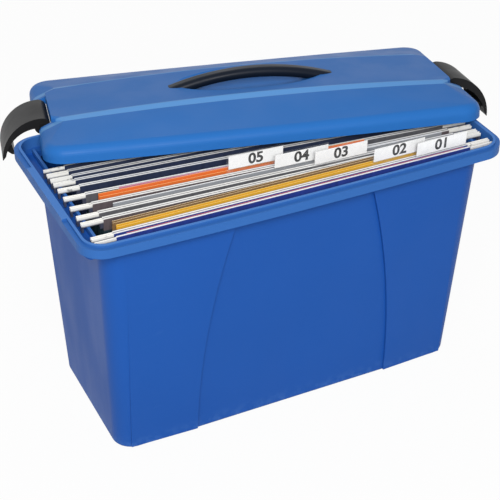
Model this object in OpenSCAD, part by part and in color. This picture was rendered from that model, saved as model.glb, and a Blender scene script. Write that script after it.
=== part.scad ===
// Portable file box: a drafted moulded body with a stepped rim, a lift-off domed lid
// laid askew on top, two end latches, a carrying handle and ten hanging files.
// Millimetres. +Z is up, +X along the box, the origin is the centre of the base.

/* [Box] */
// Length of the base
base_l = 368.5; // [340:0.5:400]
// Width of the base
base_w = 159.2; // [140:0.1:180]
// Height from the floor to the top of the lip
box_h = 255; // [240:1:280]
// Corner radius of the base
base_r = 20; // [12:1:26]
// How far each end wall leans out at lip height
draft_end = 8.45; // [4:0.05:12]
// How far each long wall leans out at lip height
draft_side = 16.1; // [8:0.05:18]
// Thickness of the walls
wall = 2.5; // [2:0.1:3.5]
// Thickness of the bottom
floor_t = 3; // [2:0.1:5]
// Rounding of the bottom edge
bottom_r = 4; // [2:0.5:6]
// Half length of the recessed centre panel at the bottom
panel_half = 104; // [80:1:120]
// Radius of the two arcs that bound the centre panel
panel_arc_r = 841; // [600:1:1200]
// How far the side wings stand out beside the panel
wing_proud = 3; // [1:0.1:4]

/* [Rim] */
// Length over the lip
lip_l = 415.3; // [400:0.1:430]
// Width over the lip
lip_w = 203.8; // [190:0.1:215]
// Corner radius of the lip
lip_r = 20; // [14:0.5:26]
// How far the skirt stands out beyond the lip
skirt_out = 4.35; // [3:0.05:6]
// Depth of the shoulder below the lip
shoulder_d = 2.6; // [1:0.1:5]
// Depth of the skirt's lower edge below the lip
skirt_d = 11.2; // [8:0.1:16]
// Thickness of the skirt and the shoulder
skirt_t = 2; // [1.5:0.1:3]
// Bow of the long sides at mid length
bow = 3; // [0:0.1:5]
// Depth of the end channel's floor below the lip
channel_d = 13.7; // [12:0.1:18]
// Depth of the hanging rail's top below the lip
rail_d = 8; // [6:0.1:10]
// Half width of the catch lug on each end
lug_half = 47.5; // [35:0.5:55]
// Depth of the catch lug below the lip
lug_d = 31; // [20:0.5:36]
// Radius of the cove under the catch lug
lug_cove_r = 19; // [12:0.5:22]
// Distance of the hanging ribs from mid length
hook_x = 191.8; // [190:0.1:193]
// Thickness of the hanging ribs
hook_t = 2.6; // [2:0.1:4]
// Half width of the end channels
channel_half = 94; // [80:0.5:96]

/* [Lid] */
// Length of the lid
lid_l = 424; // [410:1:440]
// Width of the lid
lid_w = 212; // [200:1:220]
// Corner radius of the lid
lid_r = 22; // [16:0.5:28]
// Height of the vertical rim of the lid
lid_rim_h = 6; // [3:0.5:10]
// Radius of the rolled edge above the rim
lid_roll = 10; // [6:0.5:14]
// Distance of the crease from the long edge
crease_in = 55; // [45:0.5:65]
// Height of the crease at mid length
crease_z = 27.3; // [22:0.1:30]
// Height of the raised band at mid length
band_z = 30.2; // [25:0.1:36]
// Run of the bevel between crease and band
bevel_run = 6; // [3:0.5:10]
// Height of the bevel at the ends of the band
bevel_end = 1.4; // [0.8:0.1:3]
// Fall of the crease from mid length to the ends
crown_drop = 5.6; // [0:0.1:9]
// Half length of the raised band
band_half = 202; // [198:0.5:206]
// Thickness of the lid
lid_t = 2.3; // [1.8:0.1:3]
// Length of the handle dish
dish_l = 156; // [140:1:170]
// Width of the handle dish
dish_w = 72; // [50:1:76]
// Depth of the handle dish
dish_d = 11.5; // [6:0.5:14]
// Shift of the dish and handle along the lid
dish_x = 3; // [-5:0.5:5]
// Shift of the dish across the lid
dish_y = 4; // [-5:0.5:5]
// Width of the latch notch in each end
notch_w = 78; // [66:1:84]
// Depth of the latch notch
notch_in = 13.5; // [11:0.5:16]
// Height of the arched relief in the end skirts
arch_h = 10.5; // [8:0.5:12]
// Depth of the arched relief into the lid
arch_in = 26; // [15:1:40]
// Half width of the arched relief
arch_half = 61; // [52:1:70]

/* [Lid position] */
// Position of the lid along the box
lid_x = 32.75; // [0:0.05:40]
// Position of the lid across the box
lid_y = 89.8; // [0:0.1:100]
// Depth of the lid's lower plane below the lip
lid_drop = 14.3; // [-40:0.05:20]
// Turn of the lid about the vertical
lid_yaw = -13.6; // [-20:0.1:0]
// Tilt of the lid along its length
lid_pitch = 0.1; // [-2:0.05:2]
// Tilt of the lid towards the back
lid_roll_back = -9.4; // [-15:0.1:0]

/* [Handle] */
// Length between the ends of the handle under the lid
handle_l = 182; // [160:1:200]
// Width of the handle
handle_w = 16.5; // [12:0.5:22]
// Thickness of the handle
handle_t = 10.5; // [8:0.5:14]
// Radius of the handle's arch
handle_r = 261; // [200:1:350]
// Height of the handle's centre line above the lid's lower plane
handle_z = 36.8; // [30:0.1:46]
// Clearance round the handle's ends in the lid
handle_fit = 0.15; // [0.05:0.05:0.4]

/* [Latches] */
// Width of the latch
latch_w = 58; // [45:1:66]
// Radius of the latch's outer face
latch_r = 40; // [34:0.5:46]
// Thickness of the latch's skin
latch_t = 3; // [2:0.1:4]
// Height of the latch's tip above the centre of its arc
latch_tip = 1.5; // [-4:0.5:8]
// Depth of the latch's side flanges
latch_flange = 8; // [5:0.5:10]
// Radius of the latch's root
root_r = 7.9; // [5:0.1:8]
// Radius of the latch's pins
pin_r = 2.2; // [1.5:0.1:3]
// Radial clearance of the pins
pin_fit = 0.06; // [0.01:0.01:0.1]
// Height of the pins above the lid's lower plane
pin_z = 11.2; // [9:0.1:13]
// Distance of the pins from the lid's end
pin_in = 5.2; // [4:0.1:7]
// Turn of the left latch about its pin
latch_turn_l = 0; // [-75:1:40]
// Turn of the right latch about its pin
latch_turn_r = 8; // [-75:1:40]

/* [Hanging files] */
// Length of a hanging rail over its hooks
bar_l = 401; // [390:1:405]
// Height of a hanging rail
bar_h = 8.9; // [6:0.1:10]
// Thickness of a hanging rail
bar_t = 1.2; // [0.8:0.1:2]
// Length of the hook notch in a rail
rail_notch = 15; // [12:0.5:18]
// Length of a pocket
pocket_l = 356; // [340:1:360]
// Depth from the lip to the top of the pocket hems
hem_d = 3.5; // [2:0.1:6]
// Height of a hem
hem_h = 12.5; // [10:0.5:16]
// Thickness of the pocket card
card_t = 0.55; // [0.3:0.05:0.8]
// Play of a rail in its hem
hem_play = 0.05; // [0.02:0.01:0.2]
// Distance between the two rails that hang side by side
pair_pitch = 2.5; // [2.45:0.05:4]
// Height of the pockets' bottoms above the floor
pocket_z = 13; // [8:0.5:20]
// Shift of all the files along the box
file_x = 2.5; // [-3:0.1:3]
// Shift of the pockets along their rails
card_x = -2.5; // [-5:0.5:3]
// Position across the box of hanging lines one to four
line_y_a = [-90.2, -82.2, -62.4, -53.75]; // [-91:0.05:90]
// Position across the box of hanging lines five to eight
line_y_b = [-40.6, -26.4, -11.7, 0.9]; // [-90:0.05:90]
// Position across the box of hanging lines nine to eleven
line_y_c = [10.3, 21.2, 33.4]; // [-90:0.05:90]
// Turn of hanging lines one to four
line_yaw_a = [-0.1, -0.3, -1.94, -2.73]; // [-8:0.01:8]
// Turn of hanging lines five to eight
line_yaw_b = [-3.7, -4.8, -5, -4.6]; // [-8:0.01:8]
// Turn of hanging lines nine to eleven
line_yaw_c = [-4.2, -3.8, -3.4]; // [-8:0.01:8]
// Shift of the pocket bottoms on lines one to four
lean_a = [22, 22, 22, 22]; // [-5:0.5:22]
// Shift of the pocket bottoms on lines five to eight
lean_b = [19, 15.5, 11.5, 7]; // [-5:0.5:22]
// Shift of the pocket bottoms on lines nine to eleven
lean_c = [4, 1, -2]; // [-5:0.5:22]

/* [Tabs] */
// Length of a tab
tab_l = 55.5; // [45:0.5:60]
// Height of a tab
tab_h = 16.5; // [12:0.5:20]
// Thickness of a tab holder
tab_t = 1.8; // [1.4:0.1:3]
// Height of a tab above the hem
tab_up = 0.6; // [0.3:0.1:3]
// Height of the clear foot under the label
tab_foot = 2.6; // [0:0.1:6]
// Thickness of a label
label_t = 0.4; // [0.2:0.05:0.6]
// How far the tabs lean forward at the top
tab_lean = -3; // [-6:1:20]
// Positions along the box of the tabs on lines one to four
tab_x_a = [145, 104, 53, 17]; // [-150:1:150]
// Position along the box of the tab on line five
tab_x_b = -22; // [-150:1:150]

/* [Contents] */
// Depth of the top of the red sheet below the lip
red_drop = 4.2; // [1:0.1:30]
// Left end of the red sheet
red_x = -170; // [-176:1:-100]
// Length of the red sheet
red_l = 340; // [200:1:350]
// Depth of the top of the yellow folder below the lip
yellow_drop = 1.5; // [0:0.1:30]
// Left end of the yellow folder
yellow_x = -175; // [-176:1:-100]
// Length of the yellow folder
yellow_l = 348; // [300:1:350]
// Thickness of the yellow folder with its papers
yellow_t = 2; // [1.4:0.1:4]
// Distance of the yellow folder from the hem in front
yellow_gap = 2.55; // [0.2:0.05:6]
// Depth of the top of the manila folder below the lip
manila_drop = 0.2; // [0:0.1:30]
// Left end of the manila folder
manila_x = -177; // [-177:1:-100]
// Length of the manila folder
manila_l = 350; // [300:1:352]
// Thickness of the manila folder with its papers
manila_t = 1.6; // [1.4:0.1:3]
// Distance of the manila folder from the hem in front
manila_gap = 7.5; // [5:0.05:9]
// Depth of the top of the grey papers below the lip
grey_drop = 2; // [0:0.1:30]
// Left end of the grey papers
grey_x = -165; // [-176:1:-100]
// Length of the grey papers
grey_l = 330; // [200:1:340]
// Thickness of the stack of grey papers
grey_t = 1.2; // [0.3:0.1:3]
// Distance of the grey papers from the pocket in front
grey_gap = 0.4; // [0.2:0.05:1.5]
// How far the top of the grey papers lies behind their foot
grey_lean = 2.4; // [0:0.1:3]
// Depth of the top of the orange folder below the lip
orange_drop = 1.2; // [0:0.1:30]
// Left end of the orange folder
orange_x = -172; // [-176:1:-100]
// Length of the orange folder
orange_l = 262; // [200:1:350]
// Thickness of the orange folder with its papers
orange_t = 3.6; // [1.4:0.1:3.8]
// Distance of the orange folder from the pocket in front
orange_gap = 0.3; // [0.2:0.05:0.6]
// How far the top of the orange folder lies behind its foot
orange_lean = 2.4; // [0:0.1:3]
// Depth of the top of the pink sheet below the lip
pink_drop = 1.5; // [0:0.1:30]
// Left end of the pink sheet
pink_x = -150; // [-176:1:-100]
// Length of the pink sheet
pink_l = 190; // [100:1:300]
// Thickness of a loose sheet stack
sheet_t = 0.6; // [0.3:0.1:2]
// Step between the front and the back leaf of a folder
leaf_step = 1.3; // [0.5:0.1:8]

/* [Hidden] */
eps = 0.01;
line_y = concat(line_y_a, line_y_b, line_y_c);
line_yaw = concat(line_yaw_a, line_yaw_b, line_yaw_c);
lean = concat(lean_a, lean_b, lean_c);
tab_x = concat(tab_x_a, [tab_x_b]);
skirt_l = lip_l + 2 * skirt_out;
skirt_w = lip_w + 2 * skirt_out;
skirt_r = lip_r + skirt_out;
top_l = base_l + 2 * draft_end;
top_w = base_w + 2 * draft_side;
side_slope = atan(draft_side / box_h);
ledge_d = skirt_d;
notch_x = lid_l / 2 - notch_in;
wing_run = 84;
wing_turn = atan(wing_proud / wing_run);
wing_start = 172;
hem_w = bar_t + 2 * hem_play + 2 * card_t;
bar_top = box_h - hem_d - card_t - hem_play;
pin_x = lid_l / 2 - pin_in;
arc_c = 1.7;
keeper_z = 24.6;
leaf_t = 0.4;

// Rounded rectangle whose long sides can bow outward
module plan(l, w, r, b) {
    square([l - 2 * r, w], center = true);
    square([l, w - 2 * r], center = true);
    for (sx = [-1, 1], sy = [-1, 1])
        translate([sx * (l / 2 - r), sy * (w / 2 - r)])
            circle(r = r, $fn = 64);
    if (b > 0)
        polygon(concat(bow_edge(l - 2 * r, w, b, 1), bow_edge(l - 2 * r, w, b, -1)));
}

// Points of one bowed long side
function bow_edge(c, w, b, s) =
    [for (i = [0 : 16]) let (u = i / 8 - 1) [-s * u * c / 2, s * (w / 2 + b * (1 - u * u))]];

// Drafted tub with a rounded bottom edge, shrunk by t on every side
module tub(t, z0, z1) {
    low_l = base_l - 2 * t + 2 * draft_end * z0 / box_h;
    low_w = base_w - 2 * t + 2 * draft_side * z0 / box_h;
    high_l = base_l - 2 * t + 2 * draft_end * z1 / box_h;
    high_w = base_w - 2 * t + 2 * draft_side * z1 / box_h;
    r = base_r - t;
    b = bottom_r;
    hull()
        for (sx = [-1, 1], sy = [-1, 1]) {
            translate([sx * (low_l / 2 - r), sy * (low_w / 2 - r), z0])
                rotate_extrude($fn = 64)
                    rounded_quarter(r, b);
            translate([sx * (high_l / 2 - r), sy * (high_w / 2 - r), z1 - 0.5])
                cylinder(r = r, h = 0.5, $fn = 64);
        }
}

// Half section of a disc with its lower edge rounded
module rounded_quarter(r, b) {
    square([r - b, b]);
    intersection() {
        translate([r - b, b])
            circle(r = b, $fn = 28);
        translate([r - b, 0])
            square([b, b]);
    }
}

// Raised side wings of both long walls, moved inward by t
module wings(t, z0, z1) {
    for (sy = [-1, 1], sx = [-1, 1])
        intersection() {
            translate([0, sy * (base_w / 2 - t), 0])
                rotate([-sy * side_slope, 0, 0])
                    translate([sx * (wing_start - t), 0, z0 - 2])
                        rotate([0, 0, sx * sy * -wing_turn])
                            translate([sx > 0 ? -140 : 0, sy > 0 ? -5 : 0, 0])
                                cube([140, 5, z1 + 6]);
            translate([0, 0, z0])
                difference() {
                    translate([sx > 0 ? 0 : -200, -200, 0])
                        cube([200, 400, z1 - z0]);
                    translate([0, 200, -z0])
                        rotate([90, 0, 0])
                            linear_extrude(400)
                                panel_shape(t);
                }
        }
}

// Lens between the two panel arcs, grown by t
module panel_shape(t) {
    intersection() {
        translate([panel_half - panel_arc_r, 0])
            circle(r = panel_arc_r + t, $fn = 360);
        translate([panel_arc_r - panel_half, 0])
            circle(r = panel_arc_r + t, $fn = 360);
    }
}

module box_body() {
    color([0.12, 0.27, 0.72])
        difference() {
            union() {
                tub(0, 0, box_h - 11);
                wings(0, 3, box_h - 12);
                translate([0, 0, box_h - ledge_d - wall])
                    linear_extrude(ledge_d + wall)
                        plan(lip_l, lip_w, lip_r, bow);
                translate([0, 0, box_h - channel_d - wall])
                    linear_extrude(channel_d)
                        end_zone(lip_l / 2, 0);
                translate([0, 0, box_h - shoulder_d - skirt_t])
                    linear_extrude(skirt_t)
                        plan(skirt_l, skirt_w, skirt_r, bow);
                translate([0, 0, box_h - skirt_d])
                    linear_extrude(skirt_d - shoulder_d)
                        difference() {
                            plan(skirt_l, skirt_w, skirt_r, bow);
                            plan(skirt_l - 2 * skirt_t, skirt_w - 2 * skirt_t, skirt_r - skirt_t, bow);
                        }
                for (sx = [-1, 1])
                    catch_lug(sx);
            }
            tub(wall, floor_t, box_h - 10);
            wings(wall, floor_t + 3, box_h - 12);
            translate([0, 0, box_h - ledge_d])
                linear_extrude(ledge_d + 1)
                    plan(lip_l - 2 * wall, lip_w - 2 * wall, lip_r - wall, bow);
            translate([0, 0, box_h - channel_d])
                linear_extrude(channel_d)
                    end_zone(lip_l / 2, wall);
        }
    color([0.12, 0.27, 0.72])
        for (sx = [-1, 1])
            hanging_rib(sx);
}

// Floor plan of both end channels, inset by t from the lip
module end_zone(x1, t) {
    intersection() {
        plan(lip_l - 2 * t, lip_w - 2 * t, lip_r - t, 0);
        for (sx = [-1, 1])
            translate([sx * (hook_x - 12 + x1) / 2, 0])
                square([x1 - hook_x + 12, 2 * (channel_half - t)], center = true);
    }
}

// Upstand on each end wall that carries the hooks of the hanging rails
module hanging_rib(sx) {
    translate([sx * hook_x, 0, box_h - (rail_d + channel_d + wall) / 2])
        cube([hook_t, 2 * (channel_half - 2), channel_d + wall - rail_d], center = true);
}

// Lug under the rim that the latch hooks below
module catch_lug(sx) {
    difference() {
        translate([sx * (skirt_l / 2 + 188) / 2, 0, box_h - lug_d / 2])
            cube([skirt_l / 2 - 188, 2 * lug_half, lug_d], center = true);
        translate([sx * (skirt_l / 2 + 1.5), 0, box_h - lug_d + 0.5])
            rotate([90, 0, 0])
                cylinder(r = lug_cove_r, h = 3 * lug_half, center = true, $fn = 96);
    }
}

function crease_at(x) = crease_z - crown_drop * pow(x / 200, 2);
function band_at(x) = crease_at(x) + bevel_end + (band_z - crease_z - bevel_end) * (1 - pow(x / 200, 2));

// Disc with a rolled upper edge, the corner of the lid
module lid_puck(t) {
    r = lid_r - t;
    q = lid_roll - t;
    h = lid_rim_h + lid_roll - t;
    rotate_extrude($fn = 48) {
        square([r, lid_rim_h]);
        square([r - q, h]);
        translate([r - q, lid_rim_h])
            intersection() {
                circle(r = q, $fn = 40);
                square([q, q]);
            }
    }
}

// Section of the crowned top along the lid: kind 0 crease, 1 band, half length h, shrunk by t
module crown_section(kind, h, t) {
    polygon(concat([[-h, 4], [h, 4]],
        [for (i = [10 : -1 : -10]) let (x = i * h / 10)
            [x, (kind == 0 ? crease_at(x) : band_at(x)) - t]]));
}

// Slab of that section, 2 w wide across the lid
module crown_slab(kind, h, w, t) {
    rotate([90, 0, 0])
        linear_extrude(2 * w, center = true)
            crown_section(kind, h, t);
}

// Outer form of the lid, shrunk by t
module lid_form(t) {
    half_c = lid_l / 2 - lid_r;
    crease_y = lid_w / 2 - crease_in;
    hull() {
        for (sx = [-1, 1], sy = [-1, 1])
            translate([sx * half_c, sy * (lid_w / 2 - lid_r), 0])
                lid_puck(t);
        for (i = [-1 : 1], sy = [-1, 1])
            translate([i * 100, sy * (lid_w / 2 - lid_r + bow * (1 - pow(i * 100 / half_c, 2))), 0])
                lid_puck(t);
        crown_slab(0, band_half - 14, crease_y, t);
    }
    hull() {
        crown_slab(0, band_half - 14, crease_y, t);
        crown_slab(1, band_half - 14, crease_y - bevel_run, t);
        crown_slab(0, band_half - t, notch_w / 2 - 4, t);
        crown_slab(1, band_half - t, notch_w / 2 - 7, t);
    }
}

// Barrel whose lower side forms the lens shaped handle dish, grown by t
module dish(t) {
    cross_r = (pow(dish_w / 2, 2) + pow(dish_d, 2)) / (2 * dish_d);
    long_r = (pow(dish_l / 2, 2) + pow(dish_d, 2)) / (2 * dish_d);
    translate([dish_x, dish_y, band_z - dish_d + cross_r])
        rotate([0, 90, 0])
            rotate_extrude($fn = 360)
                intersection() {
                    translate([cross_r - long_r, 0])
                        circle(r = long_r + t, $fn = 720);
                    translate([cross_r - 3 * dish_d, -dish_l * 0.8])
                        square([4 * dish_d, dish_l * 1.6]);
                }
}

// Notches for the latches, grown by t
module notches(t) {
    for (sx = [-1, 1])
        translate([sx * (notch_x + 20 - t), 0, 20])
            cube([40, notch_w + 2 * t, 60], center = true);
}

// Arched relief of the end skirts over the catch lugs
module end_relief() {
    for (sx = [-1, 1])
        translate([sx * (lid_l / 2) - arch_in, 0, 0])
            rotate([90, 0, 90])
                linear_extrude(2 * arch_in)
                    polygon([[-arch_half, -1], [-arch_half, 0], [-arch_half + 8, arch_h],
                        [arch_half - 8, arch_h], [arch_half, 0], [arch_half, -1]]);
}

module lid_solid() {
    difference() {
        union() {
            difference() {
                lid_form(0);
                difference() {
                    translate([0, 0, -eps])
                        lid_form(lid_t);
                    dish(lid_t);
                    notches(lid_t);
                }
                dish(0);
                end_relief();
            }
            for (sx = [-1, 1], sy = [-1, 1])
                translate([sx * pin_x, sy * (notch_w / 2 + 3), pin_z])
                    rotate([90, 0, 0])
                        cylinder(r = pin_r + 1, h = 6, center = true, $fn = 40);
        }
        notches(0);
        for (sx = [-1, 1])
            translate([sx * pin_x, 0, pin_z])
                rotate([90, 0, 0])
                    cylinder(r = pin_r + pin_fit, h = notch_w + 9, center = true, $fn = 48);
        handle_bar(handle_fit);
    }
}

module place_lid() {
    translate([lid_x, lid_y, box_h - lid_drop])
        rotate([lid_roll_back, lid_pitch, lid_yaw])
            children();
}

module lid_shell() {
    color([0.16, 0.40, 0.80])
        place_lid()
            lid_solid();
}

// Arched handle bar, grown by g, with its ends under the lid's skin
module handle_bar(g) {
    half = asin(handle_l / 2 / handle_r);
    w = handle_w / 2 + g;
    t = handle_t / 2 + g;
    translate([dish_x, 0, handle_z - handle_r])
        rotate([90, 0, 0])
            rotate([0, 0, 90 - half])
                rotate_extrude(angle = 2 * half, $fn = 256) {
                    translate([handle_r - t, t - w])
                        square([2 * t, 2 * (w - t)]);
                    translate([handle_r, w - t])
                        circle(r = t, $fn = 40);
                    translate([handle_r, t - w])
                        circle(r = t, $fn = 40);
                }
}

// Flange under the skin that keeps one end of the handle in the lid
module handle_keeper(sx) {
    translate([dish_x + sx * (handle_l / 2 - 4.5), 0, keeper_z])
        cube([8, handle_w + 9, 3], center = true);
}

module carry_handle() {
    color([0.1, 0.1, 0.11])
        place_lid() {
            handle_bar(0);
            for (sx = [-1, 1])
                handle_keeper(sx);
        }
}

// Latch in its place on the lid's end, sx = -1 left, 1 right
module latch(sx) {
    color([0.14, 0.14, 0.15])
        place_lid()
            rotate([0, 0, sx > 0 ? 0 : 180])
                translate([pin_x, 0, pin_z])
                    rotate([0, sx > 0 ? latch_turn_r : latch_turn_l, 0])
                        latch_solid();
}

// Latch about its pin, reaching towards +X
module latch_solid() {
    rotate([90, 0, 0])
        cylinder(r = pin_r, h = notch_w + 8, center = true, $fn = 48);
    rotate([90, 0, 0])
        cylinder(r = root_r, h = latch_w, center = true, $fn = 64);
    rotate([90, 0, 0]) {
        linear_extrude(latch_w, center = true)
            latch_band(latch_r - latch_t, 0);
        for (sy = [-1, 1])
            translate([0, 0, sy * (latch_w - latch_t) / 2])
                linear_extrude(latch_t, center = true)
                    latch_band(latch_r - latch_flange, 5);
        linear_extrude(latch_w - 16, center = true)
            polygon([[36.8, -18], [30.5, -19], [28, -28.4], [31.5, -27.8], [36, -24]]);
    }
}

// Section of the latch between its outer arc and radius r_in, thinned towards the tip
module latch_band(r_in, taper) {
    intersection() {
        difference() {
            translate([arc_c - 1, root_r - latch_r])
                circle(r = latch_r, $fn = 120);
            translate([arc_c - 1 + taper * 0.8, root_r - latch_r - taper * 0.6])
                circle(r = r_in + taper * 0.3, $fn = 120);
        }
        translate([arc_c - 1, root_r - latch_r])
            polygon([[-arc_c + 1, 60], [60, 60], [60, latch_tip], [latch_r - 0.4, latch_tip],
                [latch_r - 8, latch_tip + 8.5], [-arc_c + 1, latch_tip + 8.5]]);
    }
}

function lean_deg(i) = atan(lean[i] / (bar_top - pocket_z));
function low_z(i) = bar_top - (bar_top - pocket_z) / cos(lean_deg(i));

// Frame of hanging line i, tilted about the top of its rails
module on_line(i) {
    translate([file_x, line_y[i], bar_top])
        rotate([lean_deg(i), 0, line_yaw[i]])
            translate([0, 0, -bar_top])
                children();
}

// Hanging rail with a hook notch near each end; s = 1 front rail, -1 back rail
module rail(i, s) {
    color([0.88, 0.88, 0.84])
        on_line(i)
            translate([0, s * pair_pitch / 2, 0])
                rotate([90, 0, 0])
                    linear_extrude(bar_t, center = true)
                        difference() {
                            translate([-bar_l / 2, bar_top - bar_h])
                                square([bar_l, bar_h]);
                            for (sx = [-1, 1])
                                translate([sx * (hook_x - 0.8) - rail_notch / 2, bar_top - bar_h - 1])
                                    square([rail_notch, 1.2 + box_h - rail_d - bar_top + bar_h]);
                        }
}

// Hem and panel of one side of a pocket
module pocket_side(i, s) {
    y0 = s * pair_pitch / 2;
    y1 = y0 + s * (hem_w / 2 - card_t);
    y2 = y0 + s * hem_w / 2;
    z1 = box_h - hem_d - hem_h + 1;
    on_line(i)
        translate([card_x - pocket_l / 2, 0, 0])
            rotate([90, 0, 90])
                linear_extrude(pocket_l) {
                    difference() {
                        translate([y0 - hem_w / 2, box_h - hem_d - hem_h])
                            square([hem_w, hem_h]);
                        translate([y0 - bar_t / 2 - hem_play, box_h - hem_d - hem_h - 1])
                            square([bar_t + 2 * hem_play, hem_h + 1 - card_t]);
                    }
                    polygon([[y1, z1], [y2, z1], [y2, low_z(i)], [y1, low_z(i)]]);
                }
}

// Point of the bottom edge of line i at distance x along it
function low_pt(i, s, x) =
    let (y = s * (pair_pitch / 2 + hem_w / 2 - card_t / 2) * cos(lean_deg(i)) + lean[i],
        a = line_yaw[i])
        [file_x + (card_x + x) * cos(a) - y * sin(a), line_y[i] + (card_x + x) * sin(a) + y * cos(a)];

module pocket(i) {
    h = pocket_l / 2 - card_t / 2;
    color([0.10, 0.16, 0.22]) {
        pocket_side(i, 1);
        pocket_side(i + 1, -1);
        translate([0, 0, pocket_z])
            linear_extrude(card_t)
                polygon([low_pt(i, 1, -h), low_pt(i, 1, h), low_pt(i + 1, -1, h), low_pt(i + 1, -1, -h)]);
    }
}

// Frame of tab i, at the foot of the tab
module on_tab(i) {
    on_line(i)
        translate([tab_x[i] - file_x, pair_pitch / 2, box_h - hem_d])
            children();
}

// Clear holder that stands on the hem of a front rail
module tab_holder(i) {
    color([0.85, 0.90, 0.95, 0.5])
        on_tab(i) {
            translate([0, 0, tab_up])
                rotate([tab_lean, 0, 0])
                    difference() {
                        translate([-tab_l / 2, -tab_t / 2, 0])
                            cube([tab_l, tab_t, tab_h + tab_foot]);
                        translate([1.5 - tab_l / 2, -label_t / 2 - 0.05, tab_foot + 1.4])
                            cube([tab_l, label_t + 0.1, tab_h - 2.8]);
                    }
            for (sx = [-1, 1])
                translate([sx * 16 - 4, -1, 0.02])
                    cube([8, 2, tab_up + 0.6]);
        }
}

// Plain insert of a tab
module tab_label(i) {
    color([0.96, 0.96, 0.95])
        on_tab(i)
            translate([0, 0, tab_up])
                rotate([tab_lean, 0, 0])
                    translate([1.6 - tab_l / 2, -label_t / 2, tab_foot + 1.45])
                        cube([tab_l - 1.9, label_t, tab_h - 2.9]);
}

// Upright slab in a pocket: line i, side s, off the hem line, from x0, length, thickness,
// top below the lip, top moved by k, foot raised by up
module slab(i, s, off, x0, l, t, drop, k = 0, up = 0) {
    y0 = pair_pitch / 2 + hem_w / 2 + off;
    z0 = low_z(i) + card_t + 0.05 + up + (s < 0 ? (y0 + t) * sin(lean_deg(i)) : 0);
    z1 = box_h - drop;
    a0 = y0 + k * (z0 - low_z(i)) / (box_h - low_z(i));
    a1 = y0 + k * (z1 - low_z(i)) / (box_h - low_z(i));
    on_line(i)
        translate([x0, 0, 0])
            rotate([90, 0, 90])
                linear_extrude(l)
                    polygon([[s * a0, z0], [s * (a0 + t), z0], [s * (a1 + t), z1], [s * a1, z1]]);
}

// Folded card with a low front leaf and a high back leaf
module folder(i, off, x0, l, t, drop, k = 0) {
    slab(i, 1, off, x0, l, leaf_t, drop + leaf_step, k);
    slab(i, 1, off + t - leaf_t, x0, l, leaf_t, drop, k);
    slab(i, 1, off, x0, l, t, box_h - low_z(i) - card_t - 0.05 - leaf_t, k);
}

// Papers between the leaves of a folder
module papers(i, off, x0, l, t, drop, k = 0) {
    slab(i, 1, off + leaf_t + 0.05, x0 + 4, l - 8, t - 2 * leaf_t - 0.1, drop + leaf_step + 3, k,
        leaf_t + 0.07);
}

module red_sheet() {
    color([0.60, 0.12, 0.16])
        slab(0, 1, 1.2, red_x, red_l, sheet_t, red_drop);
}

module yellow_folder() {
    color([0.93, 0.72, 0.10])
        folder(1, yellow_gap, yellow_x, yellow_l, yellow_t, yellow_drop);
}

module yellow_papers() {
    color([0.93, 0.92, 0.88])
        papers(1, yellow_gap, yellow_x, yellow_l, yellow_t, yellow_drop);
}

module manila_folder() {
    color([0.55, 0.40, 0.22])
        folder(1, manila_gap, manila_x, manila_l, manila_t, manila_drop);
}

module manila_papers() {
    color([0.90, 0.88, 0.84])
        papers(1, manila_gap, manila_x, manila_l, manila_t, manila_drop);
}

module grey_papers() {
    color([0.55, 0.57, 0.60])
        slab(3, 1, grey_gap, grey_x, grey_l, grey_t, grey_drop, grey_lean);
}

module orange_folder() {
    color([0.93, 0.42, 0.12])
        folder(4, orange_gap, orange_x, orange_l, orange_t, orange_drop, orange_lean);
}

module orange_papers() {
    color([0.93, 0.92, 0.88])
        papers(4, orange_gap, orange_x, orange_l, orange_t, orange_drop, orange_lean);
}

module pink_sheet() {
    color([0.85, 0.45, 0.60])
        slab(5, -1, 0.4, pink_x, pink_l, sheet_t, pink_drop);
}

box_body();
lid_shell();
carry_handle();
latch(-1);  // latch_left
latch(1);  // latch_right
rail(0, 1);  // front_rail_01
rail(1, 1);  // front_rail_02
rail(2, 1);  // front_rail_03
rail(3, 1);  // front_rail_04
rail(4, 1);  // front_rail_05
rail(5, 1);  // front_rail_06
rail(6, 1);  // front_rail_07
rail(7, 1);  // front_rail_08
rail(8, 1);  // front_rail_09
rail(9, 1);  // front_rail_10
rail(1, -1);  // back_rail_01
rail(2, -1);  // back_rail_02
rail(3, -1);  // back_rail_03
rail(4, -1);  // back_rail_04
rail(5, -1);  // back_rail_05
rail(6, -1);  // back_rail_06
rail(7, -1);  // back_rail_07
rail(8, -1);  // back_rail_08
rail(9, -1);  // back_rail_09
rail(10, -1);  // back_rail_10
pocket(0);  // pocket_01
pocket(1);  // pocket_02
pocket(2);  // pocket_03
pocket(3);  // pocket_04
pocket(4);  // pocket_05
pocket(5);  // pocket_06
pocket(6);  // pocket_07
pocket(7);  // pocket_08
pocket(8);  // pocket_09
pocket(9);  // pocket_10
tab_holder(0);  // tab_holder_01
tab_holder(1);  // tab_holder_02
tab_holder(2);  // tab_holder_03
tab_holder(3);  // tab_holder_04
tab_holder(4);  // tab_holder_05
tab_label(0);  // tab_label_01
tab_label(1);  // tab_label_02
tab_label(2);  // tab_label_03
tab_label(3);  // tab_label_04
tab_label(4);  // tab_label_05
red_sheet();
yellow_folder();
yellow_papers();
manila_folder();
manila_papers();
grey_papers();
orange_folder();
orange_papers();
pink_sheet();
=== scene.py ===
"""Looks of a portable file box with hanging files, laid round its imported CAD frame."""

import logging
import math
from dataclasses import dataclass
from enum import Enum
from typing import Any, ClassVar, Optional, Union

import bmesh
import bpy
from mathutils import Euler, Matrix, Quaternion, Vector

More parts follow.
